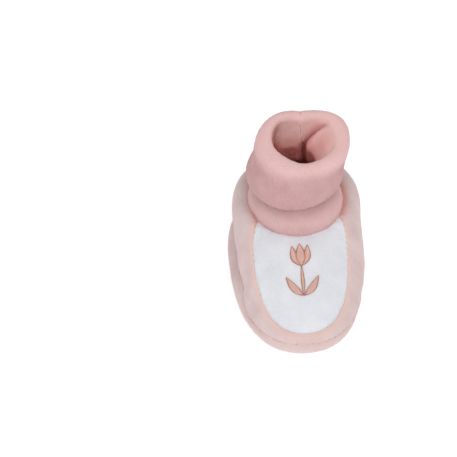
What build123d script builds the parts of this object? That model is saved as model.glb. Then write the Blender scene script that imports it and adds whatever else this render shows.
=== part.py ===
"""A soft baby bootie: a padded velour body with a pale vamp, a turned-down rib-knit cuff and an
embroidered tulip. Millimetres, +Z up, toe towards -Y, origin on the floor under the sole's middle."""

import os
from math import cos, hypot, pi, sin

from build123d import *
from numpy import interp

# ---- driving dimensions ------------------------------------------------------------------
FABRIC = 1.4  # velour
WADDING = 2.2  # polyester wadding
LINING = 0.8  # jersey lining
SEAM_HEIGHT = 8.4  # the sole seam above the floor
THREAD = 0.5  # width of a line of stitches
TALL = 120.0  # more than the object's height

# Levels of the body: height, half width, toe reach, heel reach, y of the widest point.
BODY_LEVELS = [
    (0.0, 27.0, 48.0, 48.0, 3.0),
    (1.5, 29.7, 51.0, 50.9, 3.0),
    (5.0, 31.3, 52.8, 52.7, 3.0),
    (9.0, 31.7, 52.7, 53.0, 3.0),
    (12.5, 31.7, 50.4, 53.0, 3.6),
    (16.0, 31.7, 45.6, 52.9, 5.0),
    (20.0, 31.6, 38.8, 52.6, 7.0),
    (25.0, 31.3, 29.8, 52.0, 9.5),
    (30.5, 30.4, 19.0, 50.6, 12.0),
    (36.0, 28.0, 8.0, 47.6, 15.0),
    (39.3, 25.0, 1.0, 44.0, 16.5),
    (41.5, 20.5, -4.0, 39.0, 17.0),
]
ROUNDNESS = (2.3, 2.8)  # exponents of each level's superellipse, towards toe and heel

# The vamp's outline from above: half width, toe reach, heel reach, y of the widest point.
VAMP_OUTLINE = (23.3, 48.5, 18.0, -8.0)
VAMP_ROUNDNESS = (2.25, 2.0)

# The cuff's ankle tube, as ellipses across and along the foot, from the hole to the rim.
ANKLE_Y = 17.4
ANKLE_RADII = (22.6, 24.4)
ANKLE_HEIGHT = 41.0
HOLE_FROM = 20.0  # the hole is cut from here up, clear of the sole
RIM_Y = 15.7
RIM_RADII = (20.8, 17.0)
RIM_HEIGHT = 79.0
KNIT = 1.7  # doubled rib knit
TURN_DOWN_GAP = 0.4  # air between the ankle tube and the turned-down layer
TURN_DOWN_EDGE = 53.0  # height of the turned-down layer's lower edge
RIM_FOLD = 4.0  # depth of knit where the cuff folds over
RIM_ROUNDING = 1.8
CUFF_SEAM = (1.5, 0.6)  # width and thickness of the overlocked back seam

# The embroidered tulip, drawn from above.
MOTIF_Y = -24.0  # middle of the whole motif
MOTIF_HEIGHT = 0.6  # how proud the thread stands
BLOOM_BASE_Y = -22.4
BLOOM_RADII = (4.3, 4.6)
PETAL_SCALE = (0.42, 0.62)  # outer petals against the bloom
PETAL_SPREAD = (0.6, 1.55)  # petal centres against the bloom, from its base
PETAL_TILT = 12.0
STEM_WIDTH = 1.3
STEM_LENGTH = 13.1
LEAF_RADII = (5.0, 2.2)
LEAF_AT = (4.2, -30.6)
LEAF_TILT = 52.0
BACKING = 0.35  # stabiliser sheet behind the stitching
BACKING_SIZE = (20.0, 26.0)
BACKING_CORNER = 3.0


def egg(half_width, toe_reach, heel_reach, widest_y, exponents, points=16):
    """Points of a superellipse that reaches differently towards toe and heel."""
    outline = []
    for i in range(points):
        across, along = cos(2 * pi * i / points), sin(2 * pi * i / points)
        reach = heel_reach - widest_y if along > 0 else toe_reach + widest_y
        exponent = exponents[1] if along > 0 else exponents[0]
        x = half_width * abs(across) ** (2 / exponent) * (1 if across > 0 else -1)
        y = widest_y + reach * abs(along) ** (2 / exponent) * (1 if along > 0 else -1)
        outline.append((x, y))
    return outline


def export(part, name):
    """Labels a finished piece and writes its STEP."""
    part.label = name
    export_step(part, f"parts/{name}.step")


# ---- the solids that every layer is cut from ----------------------------------------------
def inset_profile(reaches, inset):
    """Moves an upright profile of the body inwards, square to itself: new reaches, new heights."""
    heights = [level[0] for level in BODY_LEVELS]
    new_reaches, new_heights = [], []
    last = len(heights) - 1
    for i, (reach, height) in enumerate(zip(reaches, heights)):
        below, above = max(i - 1, 0), min(i + 1, last)
        rise = heights[above] - heights[below]
        spread = reaches[above] - reaches[below]
        slant = hypot(rise, spread)
        new_reaches.append(reach - inset * rise / slant)
        new_heights.append(height + inset * spread / slant)
    return new_reaches, new_heights


def body_levels(inset):
    """The body's levels moved inwards by inset, each again at one height."""
    profiles = [
        inset_profile([level[column] for level in BODY_LEVELS], inset)
        for column in (1, 2, 3)
    ]
    bottom = inset
    top = min(heights[-1] for _, heights in profiles)
    full = BODY_LEVELS[-1][0]
    levels = []
    for height, *_, widest_y in BODY_LEVELS:
        moved = bottom + (top - bottom) * height / full
        reaches = [float(interp(moved, heights, values)) for values, heights in profiles]
        levels.append((moved, *reaches, widest_y))
    return levels


def body_solid(inset=0.0):
    """The body's outside with no hole, moved inwards by inset."""
    with BuildPart() as solid:
        for height, *level in body_levels(inset):
            with BuildSketch(Plane.XY.offset(height)):
                with BuildLine():
                    Spline(*egg(*level, ROUNDNESS), periodic=True)
                make_face()
        loft()
    return solid.part


def ankle_prism(grow=0.0):
    """The ankle hole's upright prism."""
    with BuildPart() as prism:
        with BuildSketch(Plane.XY.offset(HOLE_FROM)):
            with Locations((0, ANKLE_Y)):
                Ellipse(*(radius + grow for radius in ANKLE_RADII))
        extrude(amount=TALL)
    return prism.part


def vamp_prism(grow=0.0):
    """The vamp outline's upright prism, from the sole seam up."""
    half_width, toe_reach, heel_reach, widest_y = VAMP_OUTLINE
    outline = egg(
        half_width + grow, toe_reach + grow, heel_reach + grow, widest_y, VAMP_ROUNDNESS
    )
    with BuildPart() as prism:
        with BuildSketch(Plane.XY.offset(SEAM_HEIGHT)):
            with BuildLine():
                Spline(*outline, periodic=True)
            make_face()
        extrude(amount=TALL)
    return prism.part


def layer(outer, inner, hole):
    """The shell between two nested solids, open at the ankle."""
    with BuildPart() as shell:
        add(outer)
        add(inner, mode=Mode.SUBTRACT)
        add(hole, mode=Mode.SUBTRACT)
    return shell.part


def sole_panel(shell):
    """What of a layer lies under the sole seam."""
    with BuildPart() as panel:
        add(shell)
        split(bisect_by=Plane.XY.offset(SEAM_HEIGHT), keep=Keep.BOTTOM)
    return panel.part


def band_panel(shell, without, bottom):
    """What of a layer lies above bottom, without some solids."""
    with BuildPart() as panel:
        add(shell)
        split(bisect_by=Plane.XY.offset(bottom), keep=Keep.TOP)
        for solid in without:
            add(solid, mode=Mode.SUBTRACT)
    return panel.part


def common(*solids, without=()):
    """What all the solids share, less some others."""
    with BuildPart() as shared:
        add(solids[0])
        for solid in solids[1:]:
            add(solid, mode=Mode.INTERSECT)
        for solid in without:
            add(solid, mode=Mode.SUBTRACT)
    return shared.part


os.makedirs("parts", exist_ok=True)

outside = body_solid()
inside_velour = body_solid(FABRIC)
inside_wadding = body_solid(FABRIC + WADDING)
cavity = body_solid(FABRIC + WADDING + LINING)

hole = ankle_prism()
hole_and_stitches = ankle_prism(THREAD)
vamp_outline = vamp_prism()
vamp_and_stitches = vamp_prism(THREAD)

velour_shell = layer(outside, inside_velour, hole)
wadding_shell = layer(inside_velour, inside_wadding, hole)
lining_shell = layer(inside_wadding, cavity, hole)

# ---- lines of stitches in the velour -------------------------------------------------------
above_stitches = SEAM_HEIGHT + THREAD

with BuildPart() as seam_slab:
    with Locations((0, 0, SEAM_HEIGHT)):
        Box(TALL, TALL, THREAD, align=(Align.CENTER, Align.CENTER, Align.MIN))

with BuildPart() as heel_slab:
    with Locations((0, 0, above_stitches)):
        Box(THREAD, TALL, TALL, align=(Align.CENTER, Align.MIN, Align.MIN))

export(common(velour_shell, seam_slab.part), "sole_seam_thread")
export(common(velour_shell, hole_and_stitches), "ankle_seam_thread")
export(
    common(velour_shell, vamp_and_stitches, without=(vamp_outline, hole_and_stitches)),
    "vamp_seam_thread",
)
export(
    common(velour_shell, heel_slab.part, without=(hole_and_stitches,)),
    "heel_seam_thread",
)

# ---- velour panels -------------------------------------------------------------------------
export(sole_panel(velour_shell), "outsole")
export(
    band_panel(
        velour_shell,
        (vamp_and_stitches, hole_and_stitches, heel_slab.part),
        above_stitches,
    ),
    "side_band",
)
export(common(velour_shell, vamp_outline, without=(hole_and_stitches,)), "vamp")

# ---- embroidery and its backing ------------------------------------------------------------
thread_layer = common(body_solid(-MOTIF_HEIGHT), without=(outside,))

with BuildPart() as backing_prism:
    with BuildSketch(Plane.XY.offset(SEAM_HEIGHT)):
        with Locations((0, MOTIF_Y)):
            RectangleRounded(*BACKING_SIZE, radius=BACKING_CORNER)
    extrude(amount=TALL)

backing = common(
    inside_velour, backing_prism.part, without=(body_solid(FABRIC + BACKING),)
)
export(backing, "embroidery_backing")

with BuildPart() as stem_prism:
    with BuildSketch(Plane.XY.offset(SEAM_HEIGHT)):
        with Locations((0, BLOOM_BASE_Y - STEM_LENGTH / 2)):
            SlotOverall(STEM_LENGTH, STEM_WIDTH, rotation=90)
    extrude(amount=TALL)

bloom_across, bloom_along = BLOOM_RADII
with BuildPart() as bloom_prism:
    with BuildSketch(Plane.XY.offset(SEAM_HEIGHT)):
        with Locations((0, BLOOM_BASE_Y + bloom_along)):
            Ellipse(bloom_across, bloom_along)
        for side in (-1, 0, 1):
            petal_x = side * bloom_across * PETAL_SPREAD[0]
            petal_y = BLOOM_BASE_Y + bloom_along * PETAL_SPREAD[1]
            with Locations((petal_x, petal_y)):
                Ellipse(
                    bloom_across * PETAL_SCALE[0],
                    bloom_along * PETAL_SCALE[1],
                    rotation=-PETAL_TILT * side,
                )
    extrude(amount=TALL)

with BuildPart() as leaves_prism:
    with BuildSketch(Plane.XY.offset(SEAM_HEIGHT)):
        for side in (-1, 1):
            with Locations((side * LEAF_AT[0], LEAF_AT[1])):
                Ellipse(*LEAF_RADII, rotation=side * LEAF_TILT)
    extrude(amount=TALL)

export(common(thread_layer, bloom_prism.part), "embroidery_bloom")
export(
    common(thread_layer, stem_prism.part, without=(bloom_prism.part,)), "embroidery_stem"
)
export(
    common(thread_layer, leaves_prism.part, without=(stem_prism.part,)),
    "embroidery_leaves",
)

# ---- wadding and lining panels -------------------------------------------------------------
export(sole_panel(wadding_shell), "sole_wadding")
export(band_panel(wadding_shell, (vamp_outline,), SEAM_HEIGHT), "band_wadding")
export(common(wadding_shell, vamp_outline, without=(backing,)), "vamp_wadding")
export(sole_panel(lining_shell), "sole_lining")
export(band_panel(lining_shell, (vamp_outline,), SEAM_HEIGHT), "band_lining")
export(common(lining_shell, vamp_outline), "vamp_lining")


# ---- rib-knit cuff -------------------------------------------------------------------------
def cuff_level(height, grow):
    """Sketches the cuff's ellipse at a height, moved out by grow."""
    share = (height - ANKLE_HEIGHT) / (RIM_HEIGHT - ANKLE_HEIGHT)
    radii = [a + share * (r - a) + grow for a, r in zip(ANKLE_RADII, RIM_RADII)]
    with BuildSketch(Plane.XY.offset(height)) as level:
        with Locations((0, ANKLE_Y + share * (RIM_Y - ANKLE_Y))):
            Ellipse(*radii)
    return level.sketch


def cuff_column(low, high, grow):
    """The tapered column between two heights."""
    with BuildPart() as column:
        loft([cuff_level(height, grow) for height in (low, high)])
    return column.part


def ankle_column(grow):
    """The tube's column: upright through the hole, then tapered to the rim."""
    with BuildPart() as column:
        with BuildSketch(Plane.XY.offset(HOLE_FROM)):
            with Locations((0, ANKLE_Y)):
                Ellipse(*(radius + grow for radius in ANKLE_RADII))
        extrude(amount=ANKLE_HEIGHT - HOLE_FROM)
        add(cuff_column(ANKLE_HEIGHT, RIM_HEIGHT, grow))
    return column.part


turned_down = KNIT + TURN_DOWN_GAP
with BuildPart() as rib_cuff:
    add(cuff_column(TURN_DOWN_EDGE, RIM_HEIGHT, turned_down))
    add(cuff_column(TURN_DOWN_EDGE, RIM_HEIGHT - RIM_FOLD, TURN_DOWN_GAP), mode=Mode.SUBTRACT)
    add(ankle_column(0.0))
    add(ankle_column(-KNIT), mode=Mode.SUBTRACT)
    add(cavity, mode=Mode.SUBTRACT)
    rim_edges = rib_cuff.faces().sort_by(Axis.Z)[-1].edges()
    fillet(rim_edges, RIM_ROUNDING)
export(rib_cuff.part, "rib_cuff")

with BuildPart() as cuff_seam:
    add(cuff_column(ANKLE_HEIGHT, RIM_HEIGHT - RIM_FOLD, -KNIT))
    add(cuff_column(ANKLE_HEIGHT, RIM_HEIGHT - RIM_FOLD, -KNIT - CUFF_SEAM[1]), mode=Mode.SUBTRACT)
    with Locations((0, RIM_Y, 0)):
        Box(
            CUFF_SEAM[0],
            TALL,
            TALL,
            align=(Align.CENTER, Align.MIN, Align.MIN),
            mode=Mode.INTERSECT,
        )
export(cuff_seam.part, "cuff_seam_thread")
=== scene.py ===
"""Looks of a soft baby bootie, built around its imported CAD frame.

The velour panels are padded skins puffed by a cloth simulation between pinned seams, the cuff is a
turned-down tube of rib knit, and every line of stitching and the embroidery are real strands.
Lengths here are millimetres until a mesh is made; Blender itself works in metres.
"""

import math

import bmesh
import bpy
import numpy as np
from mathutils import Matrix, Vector
from mathutils.bvhtree import BVHTree


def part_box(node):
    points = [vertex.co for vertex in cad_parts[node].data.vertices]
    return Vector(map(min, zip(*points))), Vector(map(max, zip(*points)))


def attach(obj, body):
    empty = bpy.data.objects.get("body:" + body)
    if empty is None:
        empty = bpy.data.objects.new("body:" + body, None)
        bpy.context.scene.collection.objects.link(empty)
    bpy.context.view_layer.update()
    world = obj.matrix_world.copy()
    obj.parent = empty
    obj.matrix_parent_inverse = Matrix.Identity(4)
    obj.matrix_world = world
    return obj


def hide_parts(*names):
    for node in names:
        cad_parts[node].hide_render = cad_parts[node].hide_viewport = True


MM = 0.001  # metres in a millimetre
TINY = 1e-9  # keeps a division safe
WELD = 0.01  # points of a panel closer than this are one
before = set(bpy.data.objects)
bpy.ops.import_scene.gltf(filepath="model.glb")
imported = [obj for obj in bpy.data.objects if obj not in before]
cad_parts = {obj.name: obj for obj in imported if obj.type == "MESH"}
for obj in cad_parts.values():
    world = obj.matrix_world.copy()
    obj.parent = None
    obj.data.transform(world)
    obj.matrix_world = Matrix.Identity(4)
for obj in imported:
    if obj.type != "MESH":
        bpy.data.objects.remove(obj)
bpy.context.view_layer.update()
rng = np.random.default_rng(7)


# ---- places that come from the frame ----
def box_mm(node):
    """A CAD node's lowest and highest corner, in millimetres."""
    low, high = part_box(node)
    return np.array(low) / MM, np.array(high) / MM


THREAD = 0.5  # width of a CAD stitch line
FABRIC = 1.4  # velour
WADDING = 2.2
LINING = 0.8

SEAM_Z = box_mm("outsole")[1][2]
ankle_low, ankle_high = box_mm("ankle_seam_thread")
AXIS = (ankle_low[:2] + ankle_high[:2]) / 2  # centre of the ankle hole, which all columns face
ANKLE_RADII = (ankle_high[:2] - ankle_low[:2]) / 2 - THREAD
RIM_Z = box_mm("rib_cuff")[1][2]
BODY_TOP = ankle_high[2]

# ---- camera and light ----
CAMERA_TARGET = (-32.5, 0.0, 36.0)
CAMERA_AZIMUTH = -5.0
CAMERA_ELEVATION = 45.0
CAMERA_DISTANCE = 817.0
CAMERA_LENS = 135.0
WORLD_LIGHT = 0.42
KEY_PLACE, KEY_SIZE = (0.05, -0.42, 0.88), 0.70
FILL_PLACE, FILL_SIZE = (-0.70, -0.45, 0.45), 0.80
KEY_POWER = 4.7
FILL_POWER = 0.6
FLOOR_GLOW = 0.45  # the floor's own light, so that it stays paper white
FLOOR_SIZE = 3000.0
FLOOR_DROP = 0.02  # how far the floor lies under the sole


def make_camera():
    """A long lens looking down at the toe, with the bootie right of the middle."""
    azimuth, elevation = math.radians(CAMERA_AZIMUTH), math.radians(CAMERA_ELEVATION)
    level = math.cos(elevation)
    back = Vector((math.sin(azimuth) * level, -math.cos(azimuth) * level, math.sin(elevation)))
    data = bpy.data.cameras.new("camera")
    data.lens = CAMERA_LENS
    data.clip_start, data.clip_end = 0.01, 20.0
    camera = bpy.data.objects.new("camera", data)
    camera.location = (Vector(CAMERA_TARGET) + back * CAMERA_DISTANCE) * MM
    camera.rotation_euler = (-back).to_track_quat("-Z", "Y").to_euler()
    bpy.context.scene.collection.objects.link(camera)
    bpy.context.scene.camera = camera


def area_light(name, place, size, power):
    """A square soft box that faces the bootie."""
    data = bpy.data.lights.new(name, "AREA")
    data.energy, data.size = power, size
    light = bpy.data.objects.new(name, data)
    light.location = place
    light.rotation_euler = (-Vector(place)).to_track_quat("-Z", "Y").to_euler()
    bpy.context.scene.collection.objects.link(light)


def make_studio():
    """White floor, white surroundings and soft light from above."""
    world = bpy.data.worlds.new("studio")
    bpy.context.scene.world = world
    world.use_nodes = True
    background = world.node_tree.nodes["Background"]
    background.inputs["Color"].default_value = (1, 1, 1, 1)
    background.inputs["Strength"].default_value = WORLD_LIGHT
    area_light("key", KEY_PLACE, KEY_SIZE, KEY_POWER)
    area_light("fill", FILL_PLACE, FILL_SIZE, FILL_POWER)
    half = FLOOR_SIZE / 2
    corners = [(-half, -half, 0), (half, -half, 0), (half, half, 0), (-half, half, 0)]
    floor = new_object("floor", corners, [(0, 1, 2, 3)])
    floor.location.z = -FLOOR_DROP * MM
    material = bpy.data.materials.new("floor_white")
    material.use_nodes = True
    shader = material.node_tree.nodes["Principled BSDF"]
    shader.inputs["Base Color"].default_value = (0.85, 0.85, 0.85, 1)
    shader.inputs["Roughness"].default_value = 0.9
    shader.inputs["Specular IOR Level"].default_value = 0.0
    shader.inputs["Emission Color"].default_value = (1, 1, 1, 1)
    shader.inputs["Emission Strength"].default_value = FLOOR_GLOW
    floor.data.materials.append(material)
    bpy.context.scene.view_settings.view_transform = "Standard"


# ---- small mesh tools ----
def new_object(name, points, faces):
    """A mesh object from points in millimetres and faces, smooth shaded."""
    mesh = bpy.data.meshes.new(name)
    mesh.from_pydata((np.asarray(points) * MM).tolist(), [], faces)
    mesh.update()
    mesh.polygons.foreach_set("use_smooth", [True] * len(mesh.polygons))
    piece = bpy.data.objects.new(name, mesh)
    bpy.context.scene.collection.objects.link(piece)
    return piece


def grid_faces(rows, cols, wrap, start=0, flip=False):
    """Quads of a row-by-column grid of points; wrap joins the last column to the first."""
    faces = []
    for i in range(rows - 1):
        for j in range(cols if wrap else cols - 1):
            k = (j + 1) % cols
            quad = [i * cols + j, i * cols + k, (i + 1) * cols + k, (i + 1) * cols + j]
            quad = [start + q for q in quad]
            faces.append(quad[::-1] if flip else quad)
    return faces


def border(rows, cols, wrap):
    """Indices round the edge of a grid, as closed or open runs: (run, whether it closes)."""
    top = list(range(cols))
    bottom = [(rows - 1) * cols + j for j in range(cols)]
    if wrap:
        return [(top[::-1], True), (bottom, True)]
    right = [i * cols + cols - 1 for i in range(rows)]
    left = [i * cols for i in range(rows)]
    return [(top[::-1] + left[1:] + bottom[1:] + right[::-1][1:-1], True)]


def panel_mesh(outer, inner, wrap, pole=False):
    """Points and faces of a closed panel between an outer and an inner grid of points."""
    rows, cols = outer.shape[:2]
    count = rows * cols
    points = np.concatenate([outer.reshape(-1, 3), inner.reshape(-1, 3)])
    faces = grid_faces(rows, cols, wrap) + grid_faces(rows, cols, wrap, count, True)
    runs = border(rows, cols, wrap)
    if pole:
        last = (rows - 1) * cols
        points = np.concatenate([points, [outer[-1].mean(0)], [inner[-1].mean(0)]])
        for j in range(cols):
            k = (j + 1) % cols
            faces.append((last + j, last + k, 2 * count))
            faces.append((count + last + k, count + last + j, 2 * count + 1))
        runs = runs[:1]
    for run, closes in runs:
        for a, b in zip(run, run[1:] + run[:1] if closes else run[1:]):
            faces.append((a, b, b + count, a + count))
    return points, faces


def grid_normals(grid, wrap):
    """Unit normals of a grid of points."""
    if wrap:
        across = np.roll(grid, -1, 1) - np.roll(grid, 1, 1)
    else:
        across = np.gradient(grid, axis=1)
    along = np.gradient(grid, axis=0)
    normal = np.cross(across, along)
    length = np.linalg.norm(normal, axis=2, keepdims=True)
    return normal / np.maximum(length, TINY)


def turn_faces_out(piece, weld=0.0):
    """Turns faces outwards, after merging points closer than weld and dropping faces without area."""
    work = bmesh.new()
    work.from_mesh(piece.data)
    if weld:
        bmesh.ops.remove_doubles(work, verts=work.verts, dist=weld * MM)
        bmesh.ops.dissolve_degenerate(work, edges=work.edges, dist=weld * MM / 4)
    bmesh.ops.recalc_face_normals(work, faces=work.faces)
    work.to_mesh(piece.data)
    work.free()
    piece.data.polygons.foreach_set("use_smooth", [True] * len(piece.data.polygons))


def smoothstep(low, high, value):
    """0 at low, 1 at high, and a smooth ramp between; low may be the larger."""
    t = np.clip((np.asarray(value, float) - low) / (high - low), 0, 1)
    return t * t * (3 - 2 * t)


def turned(angle, centre, width):
    """A bell round an angle, in degrees, that closes up on itself."""
    off = (np.asarray(angle) - centre + 180) % 360 - 180
    return np.exp(-((off / width) ** 2))


def ripples(points, wavelength, count=14):
    """Smooth random hills about 1 high over points in space, from waves of one length."""
    total = np.zeros(points.shape[:-1])
    for _ in range(count):
        way = rng.normal(size=3)
        way = way / np.linalg.norm(way) * 2 * math.pi / (wavelength * rng.uniform(0.7, 1.4))
        total = total + np.sin(points @ way + rng.uniform(0, 2 * math.pi))
    return total / math.sqrt(count)


def cubic(a, b, c, d, t):
    """The value a share t of the way from b to c, on a smooth curve that also heeds a and d."""
    return 0.5 * (2 * b + (c - a) * t + (2 * a - 5 * b + 4 * c - d) * t**2 + (3 * b - a - 3 * c + d) * t**3)


def catmull(values, finer, wrap):
    """Cubic interpolation along the first axis, to finer points in each interval."""
    if wrap:
        padded = np.concatenate([values[-1:], values, values[:2]])
        intervals = len(values)
    else:
        first, last = 2 * values[:1] - values[1:2], 2 * values[-1:] - values[-2:-1]
        padded = np.concatenate([first, values, last, last])
        intervals = len(values) - 1
    a, b, c, d = (padded[k : k + intervals] for k in range(4))
    pieces = [cubic(a, b, c, d, step / finer) for step in range(finer)]
    fine = np.stack(pieces, 1).reshape((intervals * finer,) + values.shape[1:])
    return fine if wrap else np.concatenate([fine, values[-1:]])


def run_along(points):
    """Distance along a line of points, from its first one."""
    return np.concatenate([[0], np.cumsum(np.linalg.norm(np.diff(points, axis=0), axis=1))])


def points_at(distances, run, points):
    """Points of a line at distances along it, where run holds the distance of each given point."""
    return np.stack([np.interp(distances, run, points[:, k]) for k in range(points.shape[1])], -1)


def even_run(points, count):
    """A line of points resampled to count evenly spaced ones."""
    run = run_along(points)
    return points_at(np.linspace(0, run[-1], count), run, points)


# ---- materials ----
def rgb(red, green, blue):
    """A colour given from 0 to 255 as screens show it, as linear values."""
    values = [v / 255 for v in (red, green, blue)]
    return [v / 12.92 if v <= 0.04045 else ((v + 0.055) / 1.055) ** 2.4 for v in values] + [1]


class Nodes:
    """Short calls for building one material's nodes."""

    def __init__(self, name):
        self.material = bpy.data.materials.new(name)
        self.material.use_nodes = True
        self.tree = self.material.node_tree
        self.shader = self.tree.nodes["Principled BSDF"]
        self.place = self.add("TexCoord").outputs["Object"]

    def add(self, kind, inputs=None, **settings):
        """A new node. Each input is a constant or another node's output."""
        node = self.tree.nodes.new("ShaderNode" + kind)
        for key, value in settings.items():
            setattr(node, key, value)
        for key, value in (inputs or {}).items():
            if isinstance(value, bpy.types.NodeSocket):
                self.tree.links.new(value, node.inputs[key])
            else:
                node.inputs[key].default_value = value
        return node

    def noise(self, size, detail=2.0, stretch=None):
        """Noise whose features are about size millimetres."""
        place = self.place
        if stretch:
            place = self.add("Mapping", {"Vector": place, "Scale": stretch}).outputs["Vector"]
        scale = 1 / (size * MM)
        return self.add("TexNoise", {"Vector": place, "Scale": scale, "Detail": detail}).outputs["Fac"]

    def spread(self, value, low, high):
        """Stretches a value between low and high to the range 0 to 1."""
        return self.add("MapRange", {"Value": value, "From Min": low, "From Max": high}).outputs["Result"]

    def mix(self, factor, first, second):
        """Mixes two colours, each a colour or an output."""
        return self.add("Mix", {0: factor, 6: first, 7: second}, data_type="RGBA").outputs[2]

    def math(self, operation, first, second=0.0):
        """One sum with two values, each a number or an output."""
        return self.add("Math", {0: first, 1: second}, operation=operation).outputs[0]

    def marbled(self, values, light, dark):
        """Two colours mixed by the middle of a noise's range."""
        return self.mix(self.spread(values, 0.35, 0.65), light, dark)

    def attribute(self, name):
        """A number stored on the mesh's points."""
        return self.add("Attribute", attribute_name=name).outputs["Fac"]

    def vector_attribute(self, name):
        """The three numbers stored on the mesh's points or corners."""
        vector = self.add("Attribute", attribute_name=name).outputs["Vector"]
        return self.add("SeparateXYZ", {"Vector": vector}).outputs

    def bump(self, height, distance, strength, under=None):
        """A bump of distance millimetres, over another one if that is given."""
        inputs = {"Height": height, "Distance": distance * MM, "Strength": strength}
        if under is not None:
            inputs["Normal"] = under
        return self.add("Bump", inputs).outputs["Normal"]

    def finish(self, colour, normal, roughness, sheen, sheen_tint=(1, 1, 1, 1)):
        """Joins everything to the shader, with constants on its own sockets."""
        self.tree.links.new(colour, self.shader.inputs["Base Color"])
        self.tree.links.new(normal, self.shader.inputs["Normal"])
        constants = {
            "Roughness": roughness,
            "Specular IOR Level": 0.15,
            "Sheen Weight": sheen,
            "Sheen Roughness": 0.45,
            "Sheen Tint": sheen_tint,
        }
        for name, value in constants.items():
            self.shader.inputs[name].default_value = value
        return self.material


def scaled(colour, factor):
    """A colour made lighter or darker, no brighter than white."""
    return [min(1, c * factor) for c in colour[:3]] + [1]


def velour(name, light, dark, seam_shading_colour, valley_shade_colour, sheen=0.55):
    """Short pile: mottled where the nap lies differently, with painted seam shading (a warm glow on the
    pink, shade on the white) along the seams, and painted shade in the valley under the cuff.
    """
    n = Nodes(name)
    colour = n.marbled(n.noise(11, 3), light, dark)
    nap = n.noise(0.55, 3)
    colour = n.mix(n.math("MULTIPLY", n.spread(nap, 0.35, 0.75), 0.5), colour, scaled(light, 0.84))
    # Painted light and shade along the seams: a warm glow on the pink, shade on the white.
    colour = n.mix(n.attribute("near_seam"), colour, seam_shading_colour)
    # Painted shade in the valley under the cuff.
    colour = n.mix(n.attribute("in_valley"), colour, valley_shade_colour)
    streaks = n.noise(1.6, 2, (1.0, 0.35, 1.0))
    normal = n.bump(streaks, 0.6, 0.35, n.bump(nap, 0.40, 0.7))
    return n.finish(colour, normal, 0.95, sheen, scaled(light, 1.15))


def rib_knit(name, light, dark, groove, stretched, inside, deep):
    """Fine rib knit: loops along each rib and grooves between ribs, with painted shade in the grooves, a
    painted highlight over the fold, painted light on the inner face and painted shade deep down.
    """
    n = Nodes(name)
    rib, course, _ = n.vector_attribute("knit")
    turn = 2 * math.pi
    across = n.math("COSINE", n.math("MULTIPLY", rib, turn))
    lean = n.math("ABSOLUTE", n.math("SINE", n.math("MULTIPLY", rib, turn / 2)))
    loops = n.math("COSINE", n.math("ADD", n.math("MULTIPLY", course, turn), n.math("MULTIPLY", lean, 1.6)))
    height = n.math("ADD", n.math("MULTIPLY", across, 0.5), n.math("MULTIPLY", loops, 0.35))
    fuzz = n.noise(0.3, 3)
    colour = n.marbled(n.noise(8, 3), light, dark)
    # Painted shade in the grooves between the ribs.
    colour = n.mix(n.math("MULTIPLY", n.spread(height, 0.4, -0.8), 0.35), colour, groove)
    colour = n.mix(n.math("MULTIPLY", n.spread(fuzz, 0.4, 0.7), 0.25), colour, dark)
    # Painted highlight over the fold and low on the ankle tube.
    colour = n.mix(n.math("MULTIPLY", n.attribute("stretched"), 0.75), colour, stretched)
    # Painted light on the inner face of the cuff.
    colour = n.mix(n.attribute("inside"), colour, inside)
    # Painted shade deep down, in the back corners and along the back seam.
    colour = n.mix(n.attribute("deep"), colour, deep)
    normal = n.bump(fuzz, 0.12, 0.5, n.bump(height, 0.09, 0.8))
    return n.finish(colour, normal, 0.95, 0.25, scaled(light, 1.1))


def jersey(name, light, dark):
    """Plain knit: fine slanting loops."""
    n = Nodes(name)
    normal = n.bump(n.noise(0.9, 1, (1.0, 0.25, 0.25)), 0.25, 0.4, n.bump(n.noise(0.5, 3), 0.2, 0.5))
    return n.finish(n.marbled(n.noise(6, 2), light, dark), normal, 0.95, 0.15)


def loose_fibre(name, light, dark):
    """Loose fibres."""
    n = Nodes(name)
    fibres = n.noise(1.4, 6, (1.0, 0.3, 1.0))
    return n.finish(n.marbled(fibres, light, dark), n.bump(fibres, 0.8, 0.7), 1.0, 0.2)


def thread(name, light, dark, roughness=0.55):
    """Twisted thread: fine slanting plies."""
    n = Nodes(name)
    plies = n.noise(0.35, 2, (1.0, 2.5, 1.0))
    return n.finish(n.marbled(plies, light, dark), n.bump(plies, 0.06, 0.6), roughness, 0.2)


PINK = rgb(231, 210, 209)
PINK_DARK = rgb(222, 197, 196)
# Painted warm glow along the pink velour's seams.
PEACH_PAINTED_GLOW = rgb(238, 204, 193)
# Painted shade where the band dips under the cuff.
VALLEY_SHADE_PINK = rgb(206, 132, 120)
WHITE = rgb(238, 239, 244)
WHITE_DARK = rgb(230, 232, 238)
# Painted shade along the white velour's seams.
WHITE_SEAM_SHADE = rgb(228, 228, 235)
ROSE = rgb(218, 180, 180)
ROSE_DARK = rgb(208, 166, 166)
# Painted shade in the grooves between ribs.
ROSE_GROOVE_SHADE = rgb(194, 138, 138)
# Painted highlight over the rim's fold and low on the ankle tube.
ROSE_PAINTED_HIGHLIGHT = rgb(242, 204, 203)
# Painted light on the knit's inner face, inside the cuff.
ROSE_PAINTED_INNER_LIGHT = rgb(253, 214, 210)
# Painted shade deep in the cuff, in its back corners and along the back seam.
ROSE_DEEP_SHADE = rgb(232, 146, 136)

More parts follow.
